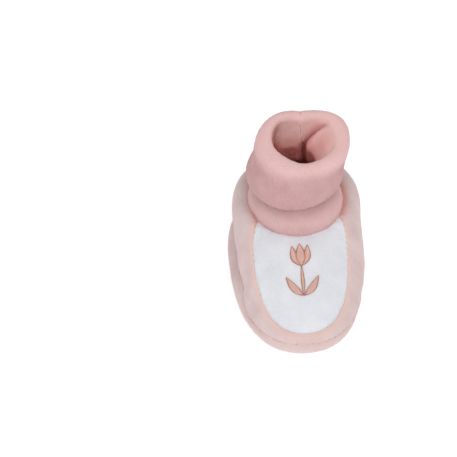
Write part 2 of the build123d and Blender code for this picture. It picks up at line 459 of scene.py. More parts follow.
VELOURS = {
    "pink_velour": velour("pink_velour", PINK, PINK_DARK, PEACH_PAINTED_GLOW, VALLEY_SHADE_PINK),
    "white_velour": velour("white_velour", WHITE, WHITE_DARK, WHITE_SEAM_SHADE, WHITE_DARK),
}
rose_knit = rib_knit("rose_rib_knit", ROSE, ROSE_DARK, ROSE_GROOVE_SHADE, ROSE_PAINTED_HIGHLIGHT, ROSE_PAINTED_INNER_LIGHT, ROSE_DEEP_SHADE)
rose_jersey = jersey("rose_jersey", rgb(222, 168, 164), rgb(206, 148, 144))
fibre = loose_fibre("wadding_fibre", rgb(244, 243, 238), rgb(218, 217, 212))
backing_felt = jersey("backing_felt", rgb(240, 240, 238), rgb(226, 226, 224))
pink_thread = thread("pink_thread", rgb(226, 176, 168), rgb(206, 152, 144), 0.8)
# A dark rose, partly painted shade: the overlock threads are darkened where the seam's groove lies in
# shade.
rose_thread = thread("rose_thread", rgb(178, 104, 100), rgb(160, 88, 84), 0.9)
motif_thread = thread("motif_thread", rgb(243, 206, 192), rgb(230, 184, 170))
outline_thread = thread("outline_thread", rgb(196, 142, 130), rgb(178, 122, 112))


def settle(piece, material, slot, *nodes):
    """Gives a finished piece its look and its body, and hides the CAD nodes it stands for. The slot is not
    used.
    """
    piece.data.materials.append(material)
    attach(piece, "root")
    if nodes:
        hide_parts(*nodes)
    return piece


# ---- the body's surface, measured on the frame ----
FRONT_COLUMNS = 76  # coarse columns between the vamp's tips, round the toe
REAR_COLUMNS = 56  # coarse columns round the heel
FINER = 4  # fine columns in each coarse one
WRAP_ROWS, WRAP_FINER = 4, 3
BAND_ROWS, BAND_FINER = 14, 4
VAMP_ROWS, VAMP_FINER = 14, 4
FLOOR_ROWS = 14
SEAMS = ("sole", "vamp", "heel", "ankle")
FAR = 100.0  # outside the object, where rays start
PROFILE_STEP = 0.2
EASE_COLUMNS = 40  # fine columns at each tip over which the ease below dies away
VAMP_EASE = 0.9  # how far the vamp shows past its CAD outline, where the puffed band would cover it


def skin_tree():
    """A search tree over the outer velour panels and their stitch lines."""
    points, faces = [], []
    for node in ("outsole", "side_band", "vamp", *(f"{seam}_seam_thread" for seam in SEAMS)):
        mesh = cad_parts[node].data
        mesh.calc_loop_triangles()
        start = len(points)
        points.extend(tuple(c / MM for c in v.co) for v in mesh.vertices)
        faces.extend(tuple(start + i for i in t.vertices) for t in mesh.loop_triangles)
    return BVHTree.FromPolygons(points, faces)


def ray_radius(tree, angle, z):
    """How far the skin lies from the ankle's axis, at an angle and a height."""
    way = Vector((math.cos(angle), math.sin(angle), 0))
    start = Vector((AXIS[0], AXIS[1], z)) + way * FAR
    hit = tree.ray_cast(start, -way)
    return FAR - hit[3] if hit[0] is not None else -FAR


def ankle_radius(angle):
    """Radius of the ankle hole at an angle."""
    return 1 / np.hypot(np.cos(angle) / ANKLE_RADII[0], np.sin(angle) / ANKLE_RADII[1])


def turns_right(a, b, c):
    """Whether the way from a over b to c goes straight on or turns right."""
    return (b[0] - a[0]) * (c[1] - a[1]) <= (b[1] - a[1]) * (c[0] - a[0])


def vamp_hull():
    """The vamp's outline from above: the convex hull of its points."""
    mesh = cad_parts["vamp"].data
    points = sorted({(round(v.co.x / MM, 3), round(v.co.y / MM, 3)) for v in mesh.vertices})

    def half(items):
        run = []
        for p in items:
            while len(run) > 1 and turns_right(run[-2], run[-1], p):
                run.pop()
            run.append(p)
        return run[:-1]

    return np.array(half(points) + half(points[::-1]))


def crossings(outline, angle, levels):
    """Where lines at an angle cross a closed outline: for each level to the side, how far along."""
    way = np.array([math.cos(angle), math.sin(angle)])
    side = np.array([-way[1], way[0]])
    ahead, off = outline @ way, outline @ side
    found = []
    for level in levels(off):
        cuts = []
        for k in range(len(outline)):
            m = (k + 1) % len(outline)
            if (off[k] <= level) != (off[m] <= level):
                t = (level - off[k]) / (off[m] - off[k])
                cuts.append(ahead[k] + t * (ahead[m] - ahead[k]))
        found.append((level, cuts))
    return way, side, found


def hull_radius(hull, angle):
    """How far the hull's edge lies from the ankle's axis, at an angle."""
    _, _, found = crossings(hull - AXIS, angle, lambda off: [0.0])
    return max(found[0][1] + [0.0])


def even_angles(tree, start, end, count):
    """Angles from start to end whose points on the sole seam are evenly spaced."""
    fine = np.linspace(start, end, 240)
    radii = np.array([ray_radius(tree, a, SEAM_Z) for a in fine])
    points = np.stack([radii * np.cos(fine), radii * np.sin(fine)], 1)
    run = run_along(points)
    return np.interp(np.linspace(0, run[-1], count, endpoint=False), run, fine)


def find_tip(hull, low, high):
    """The angle between low and high where the vamp's outline meets the ankle hole."""
    for _ in range(40):
        middle = (low + high) / 2
        if hull_radius(hull, middle) > ankle_radius(middle):
            low = middle
        else:
            high = middle
    return (low + high) / 2


tree = skin_tree()
hull = vamp_hull()
right_tip = find_tip(hull, math.radians(-60), math.radians(20))
left_tip = find_tip(hull, math.radians(-120), math.radians(-200))
# Columns run clockwise from the right tip round the toe to the left tip, then round the heel.
FRONT = FRONT_COLUMNS * FINER  # the last fine column of the vamp, at its left tip
front_angles = even_angles(tree, right_tip, left_tip, FRONT)
rear_angles = even_angles(tree, left_tip, right_tip - 2 * math.pi, REAR_COLUMNS * FINER)
angles = np.concatenate([front_angles, rear_angles])
COLUMNS = len(angles)


def measure_columns():
    """Each column's profile: its points on the wrap, the band and, in front, the vamp."""
    heights = np.arange(PROFILE_STEP / 4, BODY_TOP + 2, PROFILE_STEP)
    wraps, bands, vamps = [], [], []
    for j, angle in enumerate(angles):
        hole = float(ankle_radius(angle))
        ease = VAMP_EASE * smoothstep(0, EASE_COLUMNS, min(j, FRONT - j))
        outline = hull_radius(hull, angle) + ease if 0 < j < FRONT else hole
        radii = np.array([ray_radius(tree, angle, z) for z in heights])
        good = radii > hole
        last = np.nonzero(good)[0].max()
        line = np.stack([radii[: last + 1], heights[: last + 1]], 1)
        slope = (line[-1] - line[-4]) / max(abs(line[-1, 0] - line[-4, 0]), 1e-6)
        line = np.concatenate([line, [line[-1] + slope * (line[-1, 0] - hole)]])

        def height_at(radius):
            k = np.nonzero(line[:, 0] >= radius)[0].max()
            if k + 1 >= len(line):
                return line[-1, 1]
            t = (line[k, 0] - radius) / max(line[k, 0] - line[k + 1, 0], TINY)
            return line[k, 1] + t * (line[k + 1, 1] - line[k, 1])

        def stretch(low, high, count):
            inside = line[(line[:, 1] > low + 1e-3) & (line[:, 1] < high - 1e-3)]
            ends = [[np.interp(z, line[:, 1], line[:, 0]), z] for z in (low, high)]
            rz = even_run(np.concatenate([ends[:1], inside, ends[1:]]), count)
            x = AXIS[0] + rz[:, 0] * math.cos(angle)
            y = AXIS[1] + rz[:, 0] * math.sin(angle)
            return np.stack([x, y, rz[:, 1]], 1)

        top = height_at(max(outline, hole))
        wraps.append(stretch(heights[0], SEAM_Z, WRAP_ROWS * WRAP_FINER + 1)[::-1])
        bands.append(stretch(SEAM_Z, top, BAND_ROWS * BAND_FINER + 1))
        if j <= FRONT:
            vamps.append(stretch(top, max(line[-1, 1], top + 1e-3), VAMP_ROWS * VAMP_FINER + 1))
    return (np.stack(runs, 1) for runs in (wraps, bands, vamps))


LEFT_SPREAD, RIGHT_SPREAD = 1.4, 2.0  # how far the soft heel spreads to each side
LEAN_TOE, LEAN_HEEL = 0.4, 2.2  # how far the soft upper leans towards +X over the sole
SPLAY = 1.4  # how far the loaded sole spreads out
PINCH = 6.0  # how far the seam is drawn in along the -X side
SEAM_LIFT = 3.4  # and how far up
SIDE_GROOVE, FRONT_GROOVE = 3.0, 0.4  # how far the ankle seam sinks beside the leg, and elsewhere
GROOVE_WIDTH = 3.0
# Where each movement starts and where it is complete, as heights or as places along the foot.
LEAN_HEIGHTS, LEAN_LENGTH = (6, 20), (-12, 24)
PINCH_SIDE, PINCH_TOE, PINCH_HEEL = (0, -20), (-42, 0), (54, 24)
PINCH_RISE, PINCH_END = (3.5, 9), (9, 22)
SPREAD_LENGTH, SPREAD_HEIGHTS = (14, 34), (9, 20)
LOW_HEIGHTS, TOE_LENGTH = (10, 24), (-20, -50)


def drape(points):
    """How the soft body settles: the upper leans to +X and the -X seam is drawn in and up."""
    x, y, z = (points[..., k] for k in range(3))
    side = smoothstep(*PINCH_SIDE, x) * smoothstep(*PINCH_TOE, y) * smoothstep(*PINCH_HEEL, y)
    lean = LEAN_TOE + (LEAN_HEEL - LEAN_TOE) * smoothstep(*LEAN_LENGTH, y)
    draw = smoothstep(*PINCH_RISE, z) * (1 - 0.8 * smoothstep(*PINCH_END, z))
    lift = np.where(z < SEAM_Z, np.clip(z / SEAM_Z, 0, 1) ** 1.5, 1 - smoothstep(SEAM_Z + 4, 26, z))
    moved = points.copy()
    # off is how far a point lies outside the ankle hole, against the hole's radius.
    off = np.hypot((x - AXIS[0]) / ANKLE_RADII[0], (y - AXIS[1]) / ANKLE_RADII[1]) - 1
    spread = np.where(x < 0, LEFT_SPREAD, RIGHT_SPREAD) * np.clip(x / 14, -1, 1)
    spread = spread * smoothstep(*SPREAD_LENGTH, y) * smoothstep(*SPREAD_HEIGHTS, z)
    spread = spread * smoothstep(0.05, 0.25, off)
    low = 1 - smoothstep(*LOW_HEIGHTS, z)
    leaning = lean * smoothstep(*LEAN_HEIGHTS, z)
    moved[..., 0] = x + leaning + PINCH * side * draw + spread + SPLAY * x / 30 * low
    moved[..., 1] = y - SPLAY * 0.5 * low * smoothstep(*TOE_LENGTH, y)
    across = np.abs(x - AXIS[0]) / np.maximum(np.hypot(x - AXIS[0], y - AXIS[1]), 1e-6)
    groove = smoothstep(0.25, 0.9, across) * SIDE_GROOVE + FRONT_GROOVE
    groove = groove * np.exp(-((off * ANKLE_RADII.mean() / GROOVE_WIDTH) ** 2)) * smoothstep(18, 28, z)
    moved[..., 2] = z + SEAM_LIFT * side * lift - groove
    return moved


# Rows run from the sole seam: down the wrap, up the band, and from the band up the vamp.
wrap_base, band_base, vamp_base = measure_columns()


def face_outwards(grid, normals):
    """Turns normals round where they face the body's middle."""
    middle = np.array([0.0, AXIS[1] / 2, BODY_TOP / 3])
    inwards = ((grid - middle) * normals).sum(2).mean() < 0
    return -normals if inwards else normals


def steady_tips(normals, beside):
    """At the vamp's tips, where its columns shrink to nothing, takes the band's normals instead."""
    columns = np.arange(normals.shape[1])
    share = smoothstep(4, 28, np.minimum(columns, columns[::-1]))[None, :, None]
    mixed = beside[-1, : len(columns)][None] * (1 - share) + normals * share
    return mixed / np.linalg.norm(mixed, axis=2, keepdims=True)


def outward_normals(wrap, band, vamp):
    """Each grid's normals, all facing out of the body."""
    wrap_normals = face_outwards(wrap, grid_normals(wrap, True))
    band_normals = face_outwards(band, grid_normals(band, True))
    vamp_normals = face_outwards(vamp, grid_normals(vamp, False))
    return wrap_normals, band_normals, steady_tips(vamp_normals, band_normals)


wrap_out, band_out, vamp_out = outward_normals(wrap_base, band_base, vamp_base)

sole_middle = np.array([0.0, wrap_base[-1, :, 1].mean(), 0.0])


def floor_grid(edge, z):
    """Rings from the sole's edge to its middle, at one height."""
    shares = 1 - np.linspace(0, 0.97, FLOOR_ROWS)[1:]
    middle = np.array([sole_middle[0], sole_middle[1], z])
    flat = edge.copy()
    flat[:, 2] = z
    return middle + shares[:, None, None] * (flat - middle)[None]


# ---- puffing the skin ----
PUFF_ROOM = 0.9  # how far the seams lie inside the CAD surface
PUFF_LIMIT = 2.6  # the most that a point may swell
SIMULATION_SCALE = 10.0
SIMULATION_FRAMES = 20
CLOTH = {
    "quality": 6,
    "mass": 0.3,
    "tension_stiffness": 12,
    "compression_stiffness": 12,
    "shear_stiffness": 4,
    "bending_stiffness": 8.0,
    "air_damping": 2.0,
    "use_pressure": True,
    "uniform_pressure_force": 5.0,
    "shrink_min": -0.02,
    "vertex_group_mass": "pins",
}


def simulate_puff(grids):
    """Blows the coarse skin up between its pinned seams; returns how far each grid's points moved."""
    points, index = [], {}

    def number(point):
        key = tuple(np.round(point, 2))
        if key not in index:
            index[key] = len(points)
            points.append(point)
        return index[key]

    numbers, faces, pinned = [], [], set()
    for grid, wrap, pins in grids:
        rows, cols = grid.shape[:2]
        ids = np.array([[number(p) for p in row] for row in grid])
        numbers.append(ids)
        flat = ids.ravel()
        for quad in grid_faces(rows, cols, wrap):
            face = list(dict.fromkeys(int(flat[q]) for q in quad))
            if len(face) > 2:
                faces.append(face)
        for row in pins:
            pinned.update(int(i) for i in ids[row])
    points = np.array(points)
    skin = new_object("puff", points * SIMULATION_SCALE, faces)
    turn_faces_out(skin)
    skin.vertex_groups.new(name="pins").add(sorted(pinned), 1.0, "REPLACE")
    cloth = skin.modifiers.new("cloth", "CLOTH")
    for name, value in CLOTH.items():
        setattr(cloth.settings, name, value)
    cloth.settings.effector_weights.gravity = 0.0
    cloth.collision_settings.use_collision = False
    cloth.point_cache.frame_start, cloth.point_cache.frame_end = 1, SIMULATION_FRAMES
    for step in range(1, SIMULATION_FRAMES + 1):
        bpy.context.scene.frame_set(step)
    evaluated = skin.evaluated_get(bpy.context.evaluated_depsgraph_get())
    puffed = np.array([v.co for v in evaluated.data.vertices], float) / MM / SIMULATION_SCALE
    bpy.context.scene.frame_set(1)
    bpy.data.objects.remove(skin)
    moved = puffed - points
    length = np.linalg.norm(moved, axis=1, keepdims=True)
    moved = moved * np.minimum(1, PUFF_LIMIT / np.maximum(length, TINY))
    return [moved[ids] for ids in numbers]


wrap_seat = drape(wrap_base - wrap_out * PUFF_ROOM * smoothstep(0, 4, wrap_base[..., 2:3]))
band_seat = drape(band_base - band_out * PUFF_ROOM)
vamp_seat = drape(vamp_base - vamp_out * PUFF_ROOM)
band_seat[0] = wrap_seat[0]
vamp_seat[0] = band_seat[-1, : FRONT + 1]


def calmed(move, wrap, passes=3):
    """Evens a movement out from column to column, so that only broad folds stay."""
    for _ in range(passes):
        if wrap:
            before, after = np.roll(move, 1, 1), np.roll(move, -1, 1)
        else:
            before = np.concatenate([move[:, :1], move[:, :-1]], 1)
            after = np.concatenate([move[:, 1:], move[:, -1:]], 1)
        move = move / 2 + (before + after) / 4
    return move


def puffed_skin():
    """The three grids after puffing, fine again."""
    seats, wraps = (wrap_seat, band_seat, vamp_seat), (True, True, False)
    finers = (WRAP_FINER, BAND_FINER, VAMP_FINER)
    coarse = [(seat[::finer, ::FINER], wrap, (0, -1)) for seat, finer, wrap in zip(seats, finers, wraps)]
    fine = []
    for seat, finer, wrap, move in zip(seats, finers, wraps, simulate_puff(coarse)):
        rows = catmull(calmed(move, wrap), finer, False)
        fine.append(seat + catmull(rows.swapaxes(0, 1), FINER, wrap).swapaxes(0, 1))
    return fine


wrap_skin, band_skin, vamp_skin = puffed_skin()


# ---- seams: valleys and puckers ----
VALLEY = 0.75  # depth of the crease along a seam
VALLEY_WIDTH = 1.1
PUCKER = 0.15  # height of the small gathers beside a seam
PUCKER_REACH = 1.5  # how far from the seam they are highest
GATHER_LENGTHS = (3.1, 4.7, 7.3, 11.0)


def row_distance(grid, from_end=False):
    """How far along its column each point lies from the first row, or from the last."""
    steps = np.linalg.norm(np.diff(grid, axis=0), axis=2)
    run = np.concatenate([np.zeros((1, grid.shape[1])), np.cumsum(steps, axis=0)])
    return run[-1:] - run if from_end else run


def sewn(grid, normals, *seams):
    """Presses a crease in along each seam and gathers the cloth beside it."""
    shaped = grid.copy()
    creases = np.zeros(grid.shape[:2])
    for from_end in seams:
        away = row_distance(grid, from_end)
        run = run_along(grid[-1 if from_end else 0])
        gather = np.zeros_like(run)
        for wavelength in GATHER_LENGTHS:
            gather += np.sin(2 * math.pi * run / wavelength + rng.uniform(0, 6.28))
        creases = np.maximum(creases, np.exp(-((away / VALLEY_WIDTH) ** 2)))
        share = away / PUCKER_REACH
        pucker = PUCKER * 0.3 * gather[None] * share * np.exp(1 - share)
        shaped = shaped + normals * pucker[..., None]
    return shaped - normals * (VALLEY * creases)[..., None]


wrap_normals, band_normals, vamp_normals = outward_normals(wrap_skin, band_skin, vamp_skin)
# Uneven filling: broad low hills that die away towards the seams.
for grid, seat, normals in ((band_skin, band_seat, band_normals), (vamp_skin, vamp_seat, vamp_normals)):
    hills = ripples(seat, 24) * 0.22 + ripples(seat, 9) * 0.05
    ends = smoothstep(0, 4, np.minimum(row_distance(seat), row_distance(seat, True)))
    grid += normals * (hills * ends)[..., None]
wrap_skin = sewn(wrap_skin, wrap_normals, False)
band_skin = sewn(band_skin, band_normals, False, True)
vamp_skin = sewn(vamp_skin, vamp_normals, False, True)


def store(piece, name, values):
    """Keeps a number on each point of a piece."""
    attribute = piece.data.attributes.new(name, "FLOAT", "POINT")
    attribute.data.foreach_set("value", np.asarray(values, np.float32).ravel())


# How far the painted seam shading and the painted valley shade reach from a seam, and how strongly.
SEAM_SHADING, VAMP_SEAM_SHADING = (1.8, 0.3), (1.2, 0.5)
PAINTED_BAND_GLOW, VALLEY_SHADE = (3.4, 0.85), (3.4, 0.85)


def shading_weight(grid, from_end, tint):
    """How much painted shading each point takes beside a seam, on its first row or its last."""
    reach, strength = tint
    return strength * np.exp(-((row_distance(grid, from_end) / reach) ** 2))


def padded_panel(node, outer, inner, wrap, slot, seam_shading, valley=None, pole=False):
    """One velour panel, closed, with its puffed outside and the CAD's inner face."""
    piece = new_object(f"{node}_velour", *panel_mesh(outer, inner, wrap, pole))
    poles = np.zeros(2 if pole else 0)
    for name, values in (("near_seam", seam_shading), ("in_valley", valley)):
        values = np.zeros_like(seam_shading) if values is None else values
        store(piece, name, np.concatenate([values.ravel(), values.ravel(), poles]))
    turn_faces_out(piece, WELD)
    settle(piece, VELOURS[slot], slot, node)
    return piece


def layer_of(depth):
    """The sole, the band and the vamp at a depth under the CAD surface."""
    wrap = wrap_base - wrap_out * depth
    wrap[..., 2] = np.maximum(wrap[..., 2], depth)
    sole = np.concatenate([wrap, floor_grid(wrap[-1], depth)])
    return drape(sole), drape(band_base - band_out * depth), drape(vamp_base - vamp_out * depth)


GAP = 0.05  # air between two layers
under_sole, under_band, under_vamp = layer_of(FABRIC)

sole_outer = np.concatenate([wrap_skin, floor_grid(wrap_skin[-1], wrap_skin[-1, 0, 2])])
sole_seam_shading = shading_weight(sole_outer, False, SEAM_SHADING)
padded_panel("outsole", sole_outer, under_sole, True, "pink_velour", sole_seam_shading, pole=True)
band_seam_shading = np.maximum(shading_weight(band_skin, False, SEAM_SHADING), shading_weight(band_skin, True, PAINTED_BAND_GLOW))
# Painted shade: the colour deepens where the band dips under the cuff, beside the leg and behind it.
rearward = np.abs(np.arange(COLUMNS) - (COLUMNS + FRONT) / 2) / ((COLUMNS - FRONT) / 2)
band_valley_shade = shading_weight(band_skin, True, VALLEY_SHADE) * smoothstep(1.06, 0.98, rearward)[None]
padded_panel("side_band", band_skin, under_band, True, "pink_velour", band_seam_shading, band_valley_shade)
vamp_seam_shading = shading_weight(vamp_skin, False, VAMP_SEAM_SHADING)
vamp_piece = padded_panel("vamp", vamp_skin, under_vamp, False, "white_velour", vamp_seam_shading)


# ---- hidden layers ----
def hidden_layers(kind, top, thickness, material, slot):
    """Sole, band and vamp panels of one hidden layer."""
    made = []
    outers, inners = layer_of(top), layer_of(top + thickness)
    shapes = zip(("sole", "band", "vamp"), outers, inners, (True, True, False), (True, False, False))
    for panel, outer, inner, wrap, pole in shapes:
        step = 1 if pole else 2  # the sole has few rows, so each of them stays
        outer, inner = outer[::step, ::2], inner[::step, ::2]
        piece = new_object(f"{panel}_{kind}_panel", *panel_mesh(outer, inner, wrap, pole))
        turn_faces_out(piece, WELD)
        settle(piece, material, slot, f"{panel}_{kind}")
        made.append(piece)
    return made


for piece in hidden_layers("wadding", FABRIC + GAP, WADDING - 2 * GAP, fibre, "wadding"):
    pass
# Each lining's flat cut, width and length in metres, and the share of that rectangle which is cloth.
LINING_CUTS = {"sole": (0.064, 0.108, 0.86), "band": (0.250, 0.030, 0.72), "vamp": (0.047, 0.058, 0.80)}
for piece in hidden_layers("lining", FABRIC + WADDING, LINING, rose_jersey, "lining_jersey"):
    panel = piece.name.split("_")[0]
    width, length, share = LINING_CUTS[panel]


# ---- strands ----
def tube(path, radius, sides=6, taper=0.35):
    """Points and faces of a closed tube along a path, narrower at its ends."""
    path = np.asarray(path, float)
    count = len(path)
    ahead = np.gradient(path, axis=0)
    ahead /= np.maximum(np.linalg.norm(ahead, axis=1, keepdims=True), TINY)
    up = np.tile([0.0, 0.0, 1.0], (count, 1))
    side = np.cross(ahead, up)
    weak = np.linalg.norm(side, axis=1) < 1e-3
    side[weak] = (1.0, 0.0, 0.0)
    side /= np.linalg.norm(side, axis=1, keepdims=True)
    up = np.cross(side, ahead)
    radii = np.full(count, radius)
    radii[0] = radii[-1] = radius * taper
    turn = np.linspace(0, 2 * math.pi, sides, endpoint=False)
    rings = path[:, None] + radii[:, None, None] * (
        np.cos(turn)[None, :, None] * side[:, None] + np.sin(turn)[None, :, None] * up[:, None]
    )
    faces = grid_faces(count, sides, True)
    faces.append(list(range(sides))[::-1])
    faces.append([(count - 1) * sides + k for k in range(sides)])
    return rings.reshape(-1, 3), faces


def strands_object(name, strands):
    """One object from many closed tubes."""
    points, faces, start = [], [], 0
    for tube_points, tube_faces in strands:
        points.append(tube_points)
        faces.extend([[start + i for i in face] for face in tube_faces])
        start += len(tube_points)
    return new_object(name, np.concatenate(points), faces)


STITCH, STITCH_GAP = 2.1, 0.7  # length of a stitch, and of the cloth before the next
STITCH_RADIUS = 0.2
STITCH_RISE, STITCH_SINK = 0.3, 0.18  # how high a stitch arches, from how far under the surface


def run_stitches(line, closes, lift):
    """A running stitch: short threads that dip in at both ends. lift holds the outward ways."""
    line = np.concatenate([line, line[:1]]) if closes else line
    lift = np.concatenate([lift, lift[:1]]) if closes else lift
    run = run_along(line)
    count = int(run[-1] // (STITCH + STITCH_GAP))
    pitch = run[-1] / count
    strands = []
    for k in range(count):
        at = k * pitch + np.linspace(0, STITCH, 7)
        spot, out = points_at(at, run, line), points_at(at, run, lift)
        arch = np.sin(np.linspace(0, math.pi, 7))[:, None]
        strands.append(tube(spot + out * (arch * STITCH_RISE - STITCH_SINK), STITCH_RADIUS))
    return strands


def sew(seam, line, out, closes=False):
    """The stitches along one seam."""
    piece = strands_object(f"{seam}_seam_stitches", run_stitches(line, closes, out))
    settle(piece, pink_thread, "seam_thread", f"{seam}_seam_thread")


rim_line = np.concatenate([vamp_skin[-1, :FRONT], band_skin[-1, FRONT:]])
rim_out = np.concatenate([vamp_normals[-1, :FRONT], band_normals[-1, FRONT:]])
HEEL = int(np.argmax(band_skin[0, :, 1]))
sew("sole", band_skin[0], band_normals[0], True)
sew("vamp", band_skin[-1, 1:FRONT], band_normals[-1, 1:FRONT])
sew("ankle", rim_line, rim_out, True)
sew("heel", band_skin[2:-2, HEEL], band_normals[2:-2, HEEL])


# ---- rib-knit cuff ----
RIBS = 168
RIB_COLUMNS = 4  # columns in each rib
RIB_HEIGHT = 0.11
KNIT = 1.9  # thickness of the doubled knit
ROLL = 2.2  # radius of the fold at the rim, at the middle of the knit
TUCK = 1.6  # how far the tube reaches under the ankle seam
HEM_Z = 53.0  # lower edge of the turned-down layer
HEM_LIFT = 3.1  # how far the turned-down layer's middle stands off the tube's at the hem
TUBE_ROWS, FOLD_ROWS, OUTER_ROWS = 46, 12, 26
COURSE = 0.62  # height of a row of knitting
# The tube's middle line: height, half width, half length, y and x of the centre.
TUBE_LEVELS = np.array(
    [
        (34.0, 22.0, 23.6, 17.4, 1.5),
        (41.0, 22.0, 23.6, 17.4, 1.5),
        (46.0, 20.6, 22.0, 17.1, 0.9),
        (53.0, 19.0, 20.9, 16.8, 0.2),
        (60.0, 17.6, 19.2, 16.6, 0.7),
        (68.0, 16.6, 16.8, 16.5, 2.2),
        (79.0, 16.2, 14.4, 16.3, 5.6),
    ]
)
BACK = 90.0  # the angle of the back seam
SEAM_GROOVE = 0.45  # how far the back seam lies sunk in the tube
TWIST = 19.0  # degrees that the tube turns inside the fold
# The rim's height against the CAD rim's, by the angle round the cuff, 0 at +X and 90 at the heel.
RIM_HEIGHTS = [
    *((0, -1.2), (50, -0.6), (88, -1.6), (125, -0.2)),
    *((180, -0.8), (228, -1.6), (270, -3.8), (312, -1.8)),
]
# And the hem's against HEM_Z.
HEM_HEIGHTS = [(0, 0.6), (60, -0.5), (120, 0.8), (180, 0.3), (235, -0.6), (270, 0.0), (310, 0.9)]


def around(table, degrees):
    """Smooth values round the cuff from a few (angle, value) pairs."""
    pairs = np.array(table, float)
    looped = np.concatenate([pairs - [360, 0], pairs, pairs + [360, 0]])
    at = np.asarray(degrees) % 360
    places, values = looped.T
    k = np.searchsorted(places, at, side="right") - 1
    t = (at - places[k]) / (places[k + 1] - places[k])
    return cubic(values[k - 1], values[k], values[k + 1], values[k + 2], t)


def tube_shape(degrees, z, offset):
    """A point of the cuff at an angle, a height and a distance out from the tube's middle line."""
    heights = TUBE_LEVELS[:, 0]
    width, length, centre, shift = (np.interp(z, heights, values) for values in TUBE_LEVELS.T[1:])
    turn = np.radians(degrees)
    # Towards its rim the tube is a little square at the back.
    square = 2 + 0.5 * smoothstep(50, 70, z) * (0.5 + 0.5 * np.sin(turn))
    across, along = np.cos(turn), np.sin(turn)
    size = (np.abs(across) ** square + np.abs(along) ** square) ** (-1 / square)
    return across * size * (width + offset) + shift, along * size * (length + offset) + centre, z


# Inside the fold the soft tube sinks in towards the middle: by angle, how far at most.
SUNK = [(0, 6.5), (40, 6.5), (90, 6.5), (150, 5.0), (180, 5.0), (225, 3.0), (270, 1.0), (315, 4.0)]
SUNK_FROM, SUNK_TO = 2.0, 19.0  # depths under the rim where it starts and is complete


def depth_in(z):
    """How far down the sinking wall a height lies, from 0 to 1."""
    return np.clip((RIM_Z - z - SUNK_FROM) / (SUNK_TO - SUNK_FROM), 0, 1)


def inner_buckle(degrees, z, share):
    """How far the tube inside the fold sinks in, with a crease at each back corner."""
    depth = depth_in(z)
    right_crease, left_crease = 38 + 26 * depth, 134 - 8 * depth
    push = -around(SUNK, degrees)
    push = push + 5.5 * turned(degrees, right_crease, 9) + 4.5 * turned(degrees, left_crease, 9)
    relaxed = smoothstep(36, 52, z)
    return push * depth**1.2 * relaxed * share


def cuff_lines():
    """The middle line of the knit, and each point's share: 1 in the tube, 0 outside the fold."""
    columns = RIBS * RIB_COLUMNS
    degrees = BACK + np.arange(columns) * 360 / columns
    rim = RIM_Z + around(RIM_HEIGHTS, degrees) - 0.7 * turned(degrees, BACK, 4)
    roll = ROLL * (1 + 0.2 * turned(degrees, 232, 22) + 0.2 * turned(degrees, 306, 22))
    nip = 1.8 * turned(degrees, 160, 38)  # the turned-down layer is drawn in at the back's left
    top = rim - roll - KNIT / 2
    hem = HEM_Z + around(HEM_HEIGHTS, degrees)
    low = np.interp((degrees - TWIST) % 360, *ankle_heights()) - TUCK
    rows = []
    for t in np.linspace(0, 1, TUBE_ROWS, endpoint=False):
        rows.append((low + (top - low) * t, np.zeros(columns), 1.0))
    for t in np.linspace(0, math.pi, FOLD_ROWS, endpoint=False):
        rows.append((top + roll * np.sin(t), roll * (1 - np.cos(t)), 1 - t / math.pi))
    for t in np.linspace(0, 1, OUTER_ROWS):
        offset = 2 * roll + (HEM_LIFT - 2 * roll) * t**1.3 + 0.5 * np.sin(math.pi * t)
        rows.append((top + (hem - top) * t, offset - nip * np.sin(math.pi * t) ** 2, 0.0))
    z, offset = np.array([row[0] for row in rows]), np.array([row[1] for row in rows])
    share = np.tile([[row[2]] for row in rows], (1, columns))
    angle = degrees[None] - TWIST * share * smoothstep(RIM_Z - 2, RIM_Z - 20, z)
    wave = 0.45 * np.sin(np.radians(2 * angle + 30)) + 0.3 * np.sin(np.radians(5 * angle + 80 + z * 3))
    offset = offset + inner_buckle(angle, z, share) + wave * (1 - share) * smoothstep(50, 62, z)
    offset = offset + SEAM_GROOVE * turned(degrees, BACK, 1.5) * share
    return np.stack(tube_shape(angle, z, offset), 2), share


EVENED = 8  # columns to each side over which the ankle's height is evened out


def ankle_heights():
    """Where the ankle seam lies: angles in degrees, rising, and heights."""
    turn = np.degrees(np.arctan2(rim_line[:, 1] - AXIS[1], rim_line[:, 0] - AXIS[0])) % 360
    order = np.argsort(turn)
    turn, height = turn[order], rim_line[order, 2]
    looped = np.concatenate([height[-EVENED:], height, height[:EVENED]])
    height = np.convolve(looped, np.full(2 * EVENED + 1, 1 / (2 * EVENED + 1)), "valid")
    turn = np.concatenate([turn[-1:] - 360, turn, turn[:1] + 360])
    return turn, np.concatenate([height[-1:], height, height[:1]])


